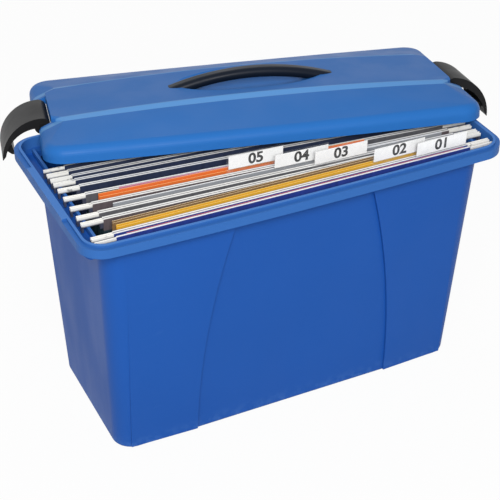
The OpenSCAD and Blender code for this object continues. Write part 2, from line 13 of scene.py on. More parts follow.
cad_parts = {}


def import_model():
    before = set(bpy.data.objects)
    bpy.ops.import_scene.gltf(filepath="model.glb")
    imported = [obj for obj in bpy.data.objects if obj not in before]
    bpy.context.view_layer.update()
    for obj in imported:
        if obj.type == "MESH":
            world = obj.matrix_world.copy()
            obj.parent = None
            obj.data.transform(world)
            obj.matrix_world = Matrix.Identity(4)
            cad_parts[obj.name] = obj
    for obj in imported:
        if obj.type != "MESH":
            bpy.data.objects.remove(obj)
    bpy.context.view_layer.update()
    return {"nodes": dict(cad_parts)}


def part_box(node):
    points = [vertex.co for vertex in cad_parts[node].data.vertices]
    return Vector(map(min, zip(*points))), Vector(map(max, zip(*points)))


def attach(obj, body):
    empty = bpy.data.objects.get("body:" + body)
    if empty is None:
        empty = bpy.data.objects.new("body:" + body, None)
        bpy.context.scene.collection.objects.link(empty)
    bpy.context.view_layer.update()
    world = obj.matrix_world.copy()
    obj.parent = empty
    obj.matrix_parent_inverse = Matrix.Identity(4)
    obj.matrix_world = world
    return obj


LOG = logging.getLogger("file_box")
NOISE_LOW, NOISE_HIGH = 0.3, 0.7  # nearly all of a noise lies between these

Span = tuple[float, float]
Triple = tuple[float, float, float]
Colour = Triple
Sockets = dict[Union[int, str], Any]


class Grain(Enum):
    """How the mould of a plastic part was finished."""

    SPARK = "fine spark-eroded mould grain"
    POLISHED = "polished mould"


class Axis(Enum):
    """A direction of the shared frame."""

    X = "X"
    Y = "Y"
    Z = "Z"


@dataclass(frozen=True)
class Pattern:
    """A soft random pattern.

    Its size is the width of a patch in metres, and its detail how many finer layers it has.
    Its stretch squeezes it along X, Y and Z; less than one draws it out.
    """

    size: float
    detail: float = 2.0
    stretch: Triple = (1.0, 1.0, 1.0)


# ------------------------------------------------------------------ shader maths


class Signal:
    """A number that varies over a surface, combined with Python's own operators."""

    def __init__(self, tree: "Tree", socket: bpy.types.NodeSocket) -> None:
        """Wraps one output socket.

        Args:
            tree: the node tree that the socket belongs to.
            socket: the output that carries the number.
        """
        self.tree = tree
        self.socket = socket

    def math(self, operation: str, *others: "Number", swap: bool = False) -> "Signal":
        """Adds one Math node.

        Args:
            operation: the node's operation.
            others: the further operands.
            swap: whether this signal comes last.

        Returns:
            The node's result.
        """
        operands: list[Number] = [self, *others]
        if swap:
            operands.reverse()
        node = self.tree.add("ShaderNodeMath", {"operation": operation}, dict(enumerate(operands)))
        return Signal(self.tree, node.outputs[0])

    def __add__(self, other: "Number") -> "Signal":
        """Sum."""
        return self.math("ADD", other)

    def __radd__(self, other: "Number") -> "Signal":
        """Reflected sum."""
        return self.math("ADD", other)

    def __sub__(self, other: "Number") -> "Signal":
        """Difference."""
        return self.math("SUBTRACT", other)

    def __rsub__(self, other: "Number") -> "Signal":
        """Reflected difference."""
        return self.math("SUBTRACT", other, swap=True)

    def __mul__(self, other: "Number") -> "Signal":
        """Product."""
        return self.math("MULTIPLY", other)

    def __rmul__(self, other: "Number") -> "Signal":
        """Reflected product."""
        return self.math("MULTIPLY", other)

    def __abs__(self) -> "Signal":
        """Size without sign."""
        return self.math("ABSOLUTE")

    def most(self, other: "Number") -> "Signal":
        """The greater of this and another."""
        return self.math("MAXIMUM", other)

    def ramp(self, low: float, high: float, start: float = 0.0, end: float = 1.0) -> "Signal":
        """Maps a span of this signal smoothly to another.

        Args:
            low: where the ramp starts.
            high: where the ramp ends.
            start: the value at low and before it.
            end: the value at high and past it.

        Returns:
            The mapped signal.
        """
        node = self.tree.add(
            "ShaderNodeMapRange",
            {"interpolation_type": "SMOOTHSTEP", "clamp": True},
            {"Value": self, "From Min": low, "From Max": high, "To Min": start, "To Max": end},
        )
        return Signal(self.tree, node.outputs[0])

    def step(self, place: float, half: float) -> "Signal":
        """A soft step from 0 to 1 round a place, that far to either side of it."""
        return self.ramp(place - half, place + half)

    def spread(self, low: float, high: float) -> "Signal":
        """Spreads a noise over a span of values."""
        return self.ramp(NOISE_LOW, NOISE_HIGH, low, high)


Number = Union[Signal, float]


class Tree:
    """A node tree that is built node by node."""

    def __init__(self, tree: bpy.types.NodeTree) -> None:
        """Empties the tree.

        Args:
            tree: the tree of a material or of the world.
        """
        self.tree = tree
        self.tree.nodes.clear()

    def add(self, kind: str, settings: dict[str, Any], sockets: Sockets) -> bpy.types.Node:
        """Adds a node.

        Args:
            kind: the node's type.
            settings: its own settings, set before its sockets.
            sockets: values or links for its inputs.

        Returns:
            The node.
        """
        node = self.tree.nodes.new(kind)
        for key, value in settings.items():
            setattr(node, key, value)
        for key, value in sockets.items():
            source = value.socket if isinstance(value, Signal) else value
            if isinstance(source, bpy.types.NodeSocket):
                self.tree.links.new(source, node.inputs[key])
            else:
                node.inputs[key].default_value = source
        return node

    def seen(self) -> Signal:
        """Tells the rays that see a background from those that only light the scene.

        Returns:
            One for rays from the camera, a mirror or clear plastic, else nought.
        """
        path = self.add("ShaderNodeLightPath", {}, {})
        camera, mirror, clear = (
            Signal(self, path.outputs[f"Is {kind} Ray"])
            for kind in ("Camera", "Glossy", "Transmission")
        )
        return camera.most(mirror).most(clear)


class Paint(Tree):
    """One material and the node tree that makes it."""

    def __init__(self, name: str) -> None:
        """Starts an empty material.

        Args:
            name: the material's name.
        """
        self.material = bpy.data.materials.new(name)
        self.material.use_nodes = True
        super().__init__(self.material.node_tree)
        self._coordinates: Optional[bpy.types.NodeSocket] = None

    @property
    def coordinates(self) -> bpy.types.NodeSocket:
        """The place on the piece in the shared frame, in metres.

        Returns:
            The output that carries it, made on first use.
        """
        if self._coordinates is None:
            node = self.add("ShaderNodeTexCoord", {}, {})
            self._coordinates = node.outputs["Object"]
        return self._coordinates

    def along(self, axis: Axis) -> Signal:
        """One coordinate of the place on the piece."""
        node = self.add("ShaderNodeSeparateXYZ", {}, {0: self.coordinates})
        return Signal(self, node.outputs[axis.value])

    def across(self, direction: Vector) -> Signal:
        """How far the place on the piece lies along a slanting direction.

        Args:
            direction: the direction, one unit long.

        Returns:
            The distance from the origin, in metres.
        """
        node = self.add(
            "ShaderNodeVectorMath",
            {"operation": "DOT_PRODUCT"},
            {0: self.coordinates, 1: tuple(direction)},
        )
        return Signal(self, node.outputs["Value"])

    def facing(self, axis: Axis) -> Signal:
        """One component of the surface's own direction.

        Args:
            axis: which component.

        Returns:
            Its value, from -1 to 1.
        """
        normal = self.add("ShaderNodeTexCoord", {}, {}).outputs["Normal"]
        node = self.add("ShaderNodeSeparateXYZ", {}, {0: normal})
        return Signal(self, node.outputs[axis.value])

    def noise(self, pattern: Pattern) -> Signal:
        """Soft random variation.

        Args:
            pattern: its size, detail and squeeze.

        Returns:
            A signal round 0.5.
        """
        place = self.add(
            "ShaderNodeVectorMath",
            {"operation": "MULTIPLY"},
            {0: self.coordinates, 1: pattern.stretch},
        )
        node = self.add(
            "ShaderNodeTexNoise",
            {},
            {"Vector": place.outputs[0], "Scale": 1.0 / pattern.size, "Detail": pattern.detail},
        )
        return Signal(self, node.outputs["Fac"])

    def cells(self, size: float) -> Signal:
        """Pits of a spark-eroded mould.

        Args:
            size: how far one pit is from the next, in metres.

        Returns:
            The distance to the nearest of many points.
        """
        node = self.add(
            "ShaderNodeTexVoronoi", {}, {"Vector": self.coordinates, "Scale": 1.0 / size}
        )
        return Signal(self, node.outputs["Distance"])

    def blend(self, first: Any, second: Any, share: Number) -> bpy.types.NodeSocket:
        """Mixes two colours.

        Args:
            first: the colour at share 0.
            second: the colour at share 1.
            share: how much of the second shows.

        Returns:
            The mixed colour.
        """

        def ready(colour: Any) -> Any:
            """A colour socket or a plain colour with its alpha."""
            return colour if isinstance(colour, bpy.types.NodeSocket) else (*colour, 1.0)

        factor, start, end, result = 0, 6, 7, 2  # the Mix node's sockets for colours
        node = self.add(
            "ShaderNodeMix",
            {"data_type": "RGBA"},
            {factor: share, start: ready(first), end: ready(second)},
        )
        return node.outputs[result]

    def shades(
        self, colour: Colour, levels: Span, share: Number
    ) -> bpy.types.NodeSocket:
        """Runs a colour between two levels of its own brightness.

        Args:
            colour: the colour.
            levels: what it is multiplied by at share 0 and at share 1.
            share: where between the two it is.

        Returns:
            The colour as it varies.
        """
        first, second = (scaled(colour, level) for level in levels)
        return self.blend(first, second, share)

    def bump(
        self, height: Signal, depth: float, under: Optional[bpy.types.NodeSocket] = None
    ) -> bpy.types.NodeSocket:
        """Turns a height into a bumped normal.

        Args:
            height: the height, from 0 to 1.
            depth: how deep one unit of it is, in metres.
            under: a normal that this one adds to.

        Returns:
            The normal.
        """
        sockets: Sockets = {"Height": height, "Distance": depth, "Strength": 1.0}
        if under is not None:
            sockets["Normal"] = under
        return self.add("ShaderNodeBump", {}, sockets).outputs[0]

    def surface(self, sockets: Sockets) -> bpy.types.Material:
        """Closes the tree with one surface shader.

        Args:
            sockets: what feeds the shader.

        Returns:
            The finished material.
        """
        shader = self.add("ShaderNodeBsdfPrincipled", {}, sockets)
        return self.close(shader.outputs[0])

    def close(self, shader: bpy.types.NodeSocket) -> bpy.types.Material:
        """Closes the tree with a shader's output, and gives the finished material."""
        self.add("ShaderNodeOutputMaterial", {}, {0: shader})
        return self.material


def scaled(colour: Colour, level: float) -> Colour:
    """A colour made darker or lighter by a factor."""
    red, green, blue = (level * part for part in colour)
    return red, green, blue


# ------------------------------------------------------------------ finishes


@dataclass(frozen=True)
class CreaseHighlight:
    """The bevels along both sides of a turned moulding, with a painted highlight on them.

    The moulding's turns are in degrees and all else in metres. Middle is how far the middle of
    a bevel is from the moulding's centre line, and half is half the bevel's width.
    """

    turns: Triple
    origin: Triple
    middle: float
    half: float
    colour: Colour
    edge: float = 0.001

    def share(self, paint: Paint) -> Signal:
        """How much of the painted highlight shows.

        Args:
            paint: the material being painted.

        Returns:
            One along the bevels and nought away from them.
        """
        sideways = Euler([math.radians(turn) for turn in self.turns]).to_matrix().col[1]
        off_centre = abs(paint.across(sideways) - sideways.dot(Vector(self.origin)))
        return 1.0 - abs(off_centre - self.middle).step(self.half, self.edge)


@dataclass(frozen=True)
class LitBand:
    """A height, in metres, and the lighter colour painted above it on a moulding: a band of
    painted light.
    """

    height: float
    colour: Colour


@dataclass(frozen=True)
class Moulding:
    """Injection-moulded plastic with its mould grain, sheen and handling marks.

    It is worn at its foot up to a height, in metres. Its painted light is given as heights, from
    the lowest up, with a lighter colour above each.
    """

    name: str
    colour: Colour
    wear_and_highlight: Colour
    roughness: float
    grain: Grain = Grain.SPARK
    specular: float = 0.1
    foot: Optional[float] = None
    lit_bands: tuple[LitBand, ...] = ()
    crease_highlight: Optional[CreaseHighlight] = None

    LEVELS: ClassVar[Span] = (0.93, 1.06)
    CLOUD: ClassVar[Pattern] = Pattern(0.16)
    FLOW: ClassVar[Pattern] = Pattern(0.035, 3.0, (1.0, 1.0, 0.35))
    STREAKS: ClassVar[Pattern] = Pattern(0.004, 4.0, (0.12, 1.0, 1.0))
    STREAK_SPAN: ClassVar[Span] = (0.58, 0.72)
    FLOW_SPAN: ClassVar[Span] = (0.5, 0.75)
    SCUFF_SHARE: ClassVar[float] = 0.35
    SCUFF_COLOUR: ClassVar[float] = 0.35
    SCUFF_ROUGHNESS: ClassVar[float] = 0.12
    LIT_BAND_EDGE: ClassVar[float] = 0.0004
    FOOT_MARKS: ClassVar[Pattern] = Pattern(0.009, 4.0)
    FOOT_SPAN: ClassVar[Span] = (0.42, 0.62)
    FOOT_COLOUR: ClassVar[float] = 0.3
    SMOOTHER: ClassVar[float] = 0.04
    ROUGHER: ClassVar[float] = 0.05
    PIT_SIZE: ClassVar[float] = 0.0011
    PIT_END: ClassVar[float] = 0.9
    PIT_HEIGHT: ClassVar[float] = 0.6
    FINE: ClassVar[Pattern] = Pattern(0.45 * PIT_SIZE)
    FINE_HEIGHT: ClassVar[float] = 0.4
    POLISH: ClassVar[Pattern] = Pattern(0.012, 1.0)
    POLISH_HEIGHT: ClassVar[float] = 0.5
    GRAIN_DEPTH: ClassVar[float] = 0.00003
    WAVES: ClassVar[Pattern] = Pattern(0.06, 1.0)
    WAVE_DEPTH: ClassVar[float] = 0.00025

    def relief(self, paint: Paint) -> bpy.types.NodeSocket:
        """The mould's grain over the slow waves of a cooled wall.

        Args:
            paint: the material being painted.

        Returns:
            The bumped normal.
        """
        if self.grain is Grain.SPARK:
            pits = paint.cells(self.PIT_SIZE).ramp(0.0, self.PIT_END) * self.PIT_HEIGHT
            height = pits + paint.noise(self.FINE) * self.FINE_HEIGHT
        else:
            height = paint.noise(self.POLISH) * self.POLISH_HEIGHT
        waves = paint.bump(paint.noise(self.WAVES), self.WAVE_DEPTH)
        return paint.bump(height, self.GRAIN_DEPTH, waves)

    def paint(self) -> bpy.types.Material:
        """Makes the material.

        Returns:
            The finished material.
        """
        paint = Paint(self.name)
        flow = paint.noise(self.FLOW)
        streaks = paint.noise(self.STREAKS).ramp(*self.STREAK_SPAN)
        scuffs = streaks * flow.ramp(*self.FLOW_SPAN) * self.SCUFF_SHARE
        colour = paint.shades(self.colour, self.LEVELS, paint.noise(self.CLOUD))
        # painted light: lighter colours above given heights, on the rim's skirt and the top of the
        # lip
        for lit_band in self.lit_bands:
            above = paint.along(Axis.Z).step(lit_band.height, self.LIT_BAND_EDGE)
            colour = paint.blend(colour, lit_band.colour, above)
        # painted highlight: the crease bevels drawn in a paler colour where light catches them
        if self.crease_highlight is not None:
            colour = paint.blend(colour, self.crease_highlight.colour, self.crease_highlight.share(paint))
        colour = paint.blend(colour, self.wear_and_highlight, scuffs * self.SCUFF_COLOUR)
        if self.foot is not None:
            low = 1.0 - paint.along(Axis.Z).ramp(0.0, self.foot)
            worn = low * paint.noise(self.FOOT_MARKS).ramp(*self.FOOT_SPAN)
            colour = paint.blend(colour, self.wear_and_highlight, worn * self.FOOT_COLOUR)
        sheen = flow.spread(self.roughness - self.SMOOTHER, self.roughness + self.ROUGHER)
        return paint.surface(
            {
                "Base Color": colour,
                "Roughness": sheen + scuffs * self.SCUFF_ROUGHNESS,
                "Normal": self.relief(paint),
                "Specular IOR Level": self.specular,
            }
        )


@dataclass(frozen=True)
class Line:
    """A line along the box, seen from above.

    It has a place across the box at mid length, in metres, and a turn in degrees.
    """

    place: float
    turn: float

    def moved(self, step: float) -> "Line":
        """The line moved a step towards the back of the box."""
        return Line(self.place + step, self.turn)


@dataclass(frozen=True)
class Board:
    """Pressed card of a hanging pocket, with a coated sleeve round each of its rails.

    A sleeve starts at one height, and a painted highlight along its rounded crest at a second. The
    crests follow two lines.
    """

    name: str
    colour: Colour
    sleeve: Colour
    crest: Colour
    sleeve_height: float
    crest_height: float
    crests: tuple[Line, Line]
    mid_length: float = 0.0025
    roughness: float = 0.62

    CARD_LEVELS: ClassVar[Span] = (0.75, 1.25)
    SLEEVE_LEVELS: ClassVar[Span] = (0.7, 1.3)
    CREST_LEVELS: ClassVar[Span] = (0.86, 1.08)
    FIBRE: ClassVar[Pattern] = Pattern(0.0018, 4.0, (0.35, 1.0, 1.0))
    FIBRE_DEPTH: ClassVar[float] = 0.00009
    COATED_OVER: ClassVar[float] = 0.7
    CLOUD: ClassVar[Pattern] = Pattern(0.05)
    RIBS: ClassVar[Pattern] = Pattern(0.0032, 1.0, (1.0, 0.2, 0.2))
    EDGE: ClassVar[float] = 0.0006
    CREST_HALF: ClassVar[float] = 0.0011
    CREST_CORE: ClassVar[float] = 0.4
    SMOOTHER: ClassVar[float] = 0.05
    ROUGHER: ClassVar[float] = 0.06
    COAT_SHEEN: ClassVar[float] = 0.22

    def wear_and_highlight(self, paint: Paint) -> Signal:
        """How much painted highlight lies along the sleeves' crests.

        Args:
            paint: the material being painted.

        Returns:
            One along the middle of each crest and nought at its edges.
        """
        x, y = paint.along(Axis.X) - self.mid_length, paint.along(Axis.Y)
        core = self.CREST_HALF * self.CREST_CORE
        middles = (x * math.tan(math.radians(line.turn)) + line.place for line in self.crests)
        front, back = (abs(y - middle).ramp(core, self.CREST_HALF, 1.0, 0.0) for middle in middles)
        return front.most(back)

    def paint(self) -> bpy.types.Material:
        """Makes the material.

        Returns:
            The finished material.
        """
        paint = Paint(self.name)
        fibre, ribs = paint.noise(self.FIBRE), paint.noise(self.RIBS)
        height = paint.along(Axis.Z)
        above = height.step(self.sleeve_height, self.EDGE)
        # painted highlight along the middle of each sleeve's rounded crest
        top = height.step(self.crest_height, self.EDGE) * self.wear_and_highlight(paint)
        card = paint.shades(self.colour, self.CARD_LEVELS, fibre)
        coated = paint.shades(self.sleeve, self.SLEEVE_LEVELS, ribs)
        pale = paint.shades(self.crest, self.CREST_LEVELS, ribs)
        sheen = paint.noise(self.CLOUD).spread(
            self.roughness - self.SMOOTHER, self.roughness + self.ROUGHER
        )
        return paint.surface(
            {
                "Base Color": paint.blend(paint.blend(card, coated, above), pale, top),
                "Roughness": sheen - above * self.COAT_SHEEN,
                "Normal": paint.bump(fibre * (1.0 - above * self.COATED_OVER), self.FIBRE_DEPTH),
            }
        )


@dataclass(frozen=True)
class Leaf:
    """Paper or folder card, with its fibres and a paler cut edge along the top."""

    name: str
    colour: Colour
    edge: Colour
    roughness: float = 0.7

    LEVELS: ClassVar[Span] = (0.9, 1.06)
    FIBRE: ClassVar[Pattern] = Pattern(0.0009, 5.0, (0.5, 1.0, 1.0))
    CLOUD: ClassVar[Pattern] = Pattern(0.07)
    CLOUD_SPAN: ClassVar[Span] = (0.45, 0.8)
    CLOUD_LEVEL: ClassVar[float] = 0.86
    CLOUD_SHARE: ClassVar[float] = 0.5
    UPWARD: ClassVar[Span] = (0.75, 0.95)
    LAYERS: ClassVar[Pattern] = Pattern(0.00022, 1.0, (0.02, 1.0, 1.0))
    DEPTH: ClassVar[float] = 0.00005
    SHEEN: ClassVar[float] = 0.06

    def paint(self) -> bpy.types.Material:
        """Makes the material.

        Returns:
            The finished material.
        """
        paint = Paint(self.name)
        fibre, cloud = paint.noise(self.FIBRE), paint.noise(self.CLOUD)
        face = paint.blend(
            paint.shades(self.colour, self.LEVELS, fibre),
            scaled(self.colour, self.CLOUD_LEVEL),
            cloud.ramp(*self.CLOUD_SPAN) * self.CLOUD_SHARE,
        )
        up = paint.facing(Axis.Z).ramp(*self.UPWARD)
        height = fibre * (1.0 - up) + paint.noise(self.LAYERS) * up
        return paint.surface(
            {
                "Base Color": paint.blend(face, self.edge, up),
                "Roughness": cloud.spread(
                    self.roughness - self.SHEEN, self.roughness + self.SHEEN
                ),
                "Normal": paint.bump(height, self.DEPTH),
            }
        )


@dataclass(frozen=True)
class Coating:
    """Baked coat on a thin steel strip, drawn dark below a height: painted shade on its hooks."""

    name: str
    colour: Colour
    bare: Colour
    painted_shade: Colour
    shade_height: float
    roughness: float = 0.34

    LEVELS: ClassVar[Span] = (0.94, 1.0)
    CLOUD: ClassVar[Pattern] = Pattern(0.03)
    RUB: ClassVar[Pattern] = Pattern(0.006, 4.0)
    RUB_SPAN: ClassVar[Span] = (0.6, 0.68)
    RUB_COLOUR: ClassVar[float] = 0.4
    RUB_METAL: ClassVar[float] = 0.5
    SHADE_EDGE: ClassVar[float] = 0.0012
    ORANGE_PEEL: ClassVar[Pattern] = Pattern(0.0014)
    PEEL_DEPTH: ClassVar[float] = 0.00003
    SMOOTHER: ClassVar[float] = 0.05
    ROUGHER: ClassVar[float] = 0.1

    def paint(self) -> bpy.types.Material:
        """Makes the material.

        Returns:
            The finished material.
        """
        paint = Paint(self.name)
        peel = paint.noise(self.ORANGE_PEEL)
        rub = paint.noise(self.RUB).ramp(*self.RUB_SPAN)
        coat = paint.shades(self.colour, self.LEVELS, paint.noise(self.CLOUD))
        # painted shade: below a height the strip is drawn in the dark colour
        unshaded = paint.along(Axis.Z).step(self.shade_height, self.SHADE_EDGE)
        worn = paint.blend(coat, self.bare, rub * self.RUB_COLOUR)
        return paint.surface(
            {
                "Base Color": paint.blend(self.painted_shade, worn, unshaded),
                "Metallic": rub * self.RUB_METAL,
                "Roughness": peel.spread(
                    self.roughness - self.SMOOTHER, self.roughness + self.ROUGHER
                ),
                "Normal": paint.bump(peel, self.PEEL_DEPTH),
            }
        )


@dataclass(frozen=True)
class ClearVinyl:
    """Thin clear vinyl of the tab holders."""

    name: str
    tint: Colour
    alpha: Span

    LEVELS: ClassVar[Span] = (1.0, 0.94)
    HAZE: ClassVar[Pattern] = Pattern(0.008)
    SHEEN: ClassVar[Span] = (0.08, 0.18)
    DEPTH: ClassVar[float] = 0.00008

    def paint(self) -> bpy.types.Material:
        """Makes the material.

        Returns:
            The finished material.
        """
        paint = Paint(self.name)
        paint.material.surface_render_method = "BLENDED"
        haze = paint.noise(self.HAZE)
        return paint.surface(
            {
                "Base Color": paint.shades(self.tint, self.LEVELS, haze),
                "Roughness": haze.spread(*self.SHEEN),
                "Alpha": haze.spread(*self.alpha),
                "Normal": paint.bump(haze, self.DEPTH),
            }
        )


Finish = Union[Moulding, Board, Leaf, Coating, ClearVinyl]


class Finishes:
    """The finishes of this file box, made once each."""

    BODY = Moulding(
        "body_plastic",
        # the body's blue is the lid's plastic drawn darker: painted shade on the walls
        colour=(0.010, 0.072, 0.31),
        wear_and_highlight=(0.06, 0.16, 0.42),
        roughness=0.46,
        foot=0.02,
        # both bands are painted light: the rim's skirt lighter than the wall, and a painted
        # highlight on the top of the lip
        lit_bands=(
            LitBand(0.2438, (0.026, 0.108, 0.34)),  # the rim's skirt
            LitBand(0.2545, (0.045, 0.15, 0.42)),  # the top of the lip
        ),
    )
    LID = Moulding(
        "lid_plastic",
        colour=(0.019, 0.122, 0.385),
        wear_and_highlight=(0.06, 0.20, 0.48),
        roughness=0.4,
        specular=0.07,
        # a painted highlight along the bevels of the lid's crease
        crease_highlight=CreaseHighlight(
            turns=(-9.4, 0.1, -13.6),
            origin=(0.03275, 0.0898, 0.2407),
            middle=0.0475,
            half=0.0042,
            colour=(0.085, 0.235, 0.50),
        ),
    )
    GRIP = Moulding(
        "grip_plastic",
        colour=(0.005, 0.008, 0.015),
        wear_and_highlight=(0.02, 0.022, 0.028),
        roughness=0.36,
        grain=Grain.POLISHED,
    )
    LATCH = Moulding(
        "latch_plastic",
        colour=(0.009, 0.009, 0.0095),
        wear_and_highlight=(0.04, 0.04, 0.043),
        roughness=0.42,
    )
    RAIL = Coating(
        "rail_coat",
        colour=(0.80, 0.79, 0.75),
        bare=(0.42, 0.42, 0.42),
        # painted shade on the hooks below this height
        painted_shade=(0.05, 0.055, 0.085),
        shade_height=0.2482,
    )
    VINYL = ClearVinyl("tab_vinyl", (0.95, 0.96, 0.97), alpha=(0.01, 0.04))
    LABEL = Leaf("label_card", (0.80, 0.80, 0.795), (0.84, 0.84, 0.835))
    INK = Leaf("label_ink", (0.006, 0.006, 0.007), (0.006, 0.006, 0.007), roughness=0.6)
    RED = Leaf("red_paper", (0.36, 0.035, 0.055), (0.50, 0.12, 0.14))
    YELLOW = Leaf("yellow_card", (0.66, 0.35, 0.022), (0.82, 0.62, 0.20))
    # the manila folder's face colour is painted shade, its card darkened where it stands in
    # shadow; the edge colour is the card's own
    MANILA = Leaf("manila_card", (0.20, 0.115, 0.045), (0.78, 0.62, 0.40))
    GREY = Leaf("grey_paper", (0.26, 0.275, 0.30), (0.66, 0.67, 0.68))
    ORANGE = Leaf("orange_card", (0.66, 0.14, 0.020), (0.88, 0.50, 0.20))
    PINK = Leaf("pink_paper", (0.48, 0.17, 0.26), (0.72, 0.42, 0.48))
    WHITE = Leaf("white_paper", (0.80, 0.79, 0.75), (0.84, 0.83, 0.80))

    def __init__(self) -> None:
        """Starts with no material made."""
        self._made: dict[str, bpy.types.Material] = {}

    def of(self, finish: Finish) -> bpy.types.Material:
        """The material of a finish.

        Args:
            finish: one of the frozen finishes.

        Returns:
            Its material, made on first use.
        """
        if finish.name not in self._made:
            self._made[finish.name] = finish.paint()
        return self._made[finish.name]


# ------------------------------------------------------------------ sub-assemblies


def enter(name: str, data: bpy.types.ID) -> bpy.types.Object:
    """Puts a new object in the scene.

    Args:
        name: the object's name.
        data: its mesh, curve, lamp or camera.

    Returns:
        The object.
    """
    thing = bpy.data.objects.new(name, data)
    bpy.context.scene.collection.objects.link(thing)
    return thing


@dataclass
class Assembly:
    """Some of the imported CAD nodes, dressed together."""

    finishes: Finishes
    nodes: dict[str, bpy.types.Object]

    def coat(self, name: str, finish: Finish) -> str:
        """Gives a carried-over CAD node its material.

        Args:
            name: the node's name.
            finish: what it is made of.

        Returns:
            The node's name.
        """
        node, material = self.nodes[name], self.finishes.of(finish)
        if not node.material_slots:
            node.data.materials.append(material)
        for slot in node.material_slots:
            slot.material = material
        return name


@dataclass
class Carcass(Assembly):
    """The drafted body with its stepped rim."""

    def dress(self) -> list[str]:
        """Dresses the body, and names what was dressed."""
        return [self.coat("box_body", Finishes.BODY)]


@dataclass
class Cover(Assembly):
    """The domed lid with its handle and its two latches."""

    def dress(self) -> list[str]:
        """Dresses the lid, the handle and the latches.

        Returns:
            The names of what was dressed.
        """
        return [
            self.coat("lid_shell", Finishes.LID),
            self.coat("carry_handle", Finishes.GRIP),
            self.coat("latch_left", Finishes.LATCH),
            self.coat("latch_right", Finishes.LATCH),
        ]


@dataclass
class TabNumber:
    """The plain number printed on the card of one tab.

    Lengths are in metres. Capital is the height of a figure as a share of the type's size.
    """

    text: str
    card: bpy.types.Object
    body: str
    height: float = 0.0108
    capital: float = 0.72
    boldness: float = 0.0005
    relief: float = 0.00002

    def place(self) -> Matrix:
        """Where the number lies: in the middle of its card's front face, a print's depth proud.

        Returns:
            The transform that takes the upright pen's plane to the card.
        """
        turn = self.card.matrix_world.to_3x3()
        fronts = (face for face in self.card.data.polygons if (turn @ face.normal).y < 0)
        front = max(fronts, key=lambda face: face.area)
        out = (turn @ front.normal).normalized()
        side = Vector((0.0, 0.0, 1.0)).cross(out).normalized()
        low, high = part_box(self.card.name)
        centre = (low + high) / 2
        depth = (self.card.matrix_world @ front.center - centre).dot(out)
        spin = Matrix((side, out.cross(side), out)).transposed()
        return Matrix.Translation(centre + out * (depth + self.relief)) @ spin.to_4x4()

    def outline(self, name: str) -> bpy.types.Mesh:
        """Writes the number in the plane of the pen.

        Args:
            name: the mesh's name.

        Returns:
            The number's mesh, flat on X and Y.
        """
        curve = bpy.data.curves.new(name, "FONT")
        curve.body = self.text
        curve.align_x = "CENTER"
        curve.align_y = "CENTER"
        curve.size = self.height / self.capital
        curve.offset = self.boldness
        pen = enter(f"{name}.pen", curve)
        bpy.context.view_layer.update()
        written = pen.evaluated_get(bpy.context.evaluated_depsgraph_get())
        shape = bpy.data.meshes.new_from_object(written)
        bpy.data.objects.remove(pen)
        shape.name = name
        return shape

    def build(self, ink: bpy.types.Material) -> str:
        """Puts the number on its card.

        Args:
            ink: the printing ink.

        Returns:
            The number's name.
        """
        name = f"tab_number_{self.text}"
        shape = self.outline(name)
        shape.materials.clear()
        shape.materials.append(ink)
        shape.transform(self.place())
        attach(enter(name, shape), self.body)
        return name


@dataclass
class HangingFile(Assembly):
    """One hanging file: two rails, a pocket, and its tab and papers if it has them."""

    number: str
    body: str
    pocket: Board
    tabbed: bool
    papers: dict[str, Leaf]

    def dress(self) -> list[str]:
        """Dresses the rails, the pocket, the papers and the tab.

        Returns:
            The names of what was dressed.
        """
        done = [
            self.coat(f"front_rail_{self.number}", Finishes.RAIL),
            self.coat(f"back_rail_{self.number}", Finishes.RAIL),
            self.coat(f"pocket_{self.number}", self.pocket),
        ]
        done += [self.coat(name, leaf) for name, leaf in self.papers.items()]
        if self.tabbed:
            done.append(self.coat(f"tab_holder_{self.number}", Finishes.VINYL))
            done.append(self.coat(f"tab_label_{self.number}", Finishes.LABEL))
            number = TabNumber(self.number, self.nodes[done[-1]], self.body)
            done.append(number.build(self.finishes.of(Finishes.INK)))
        return done


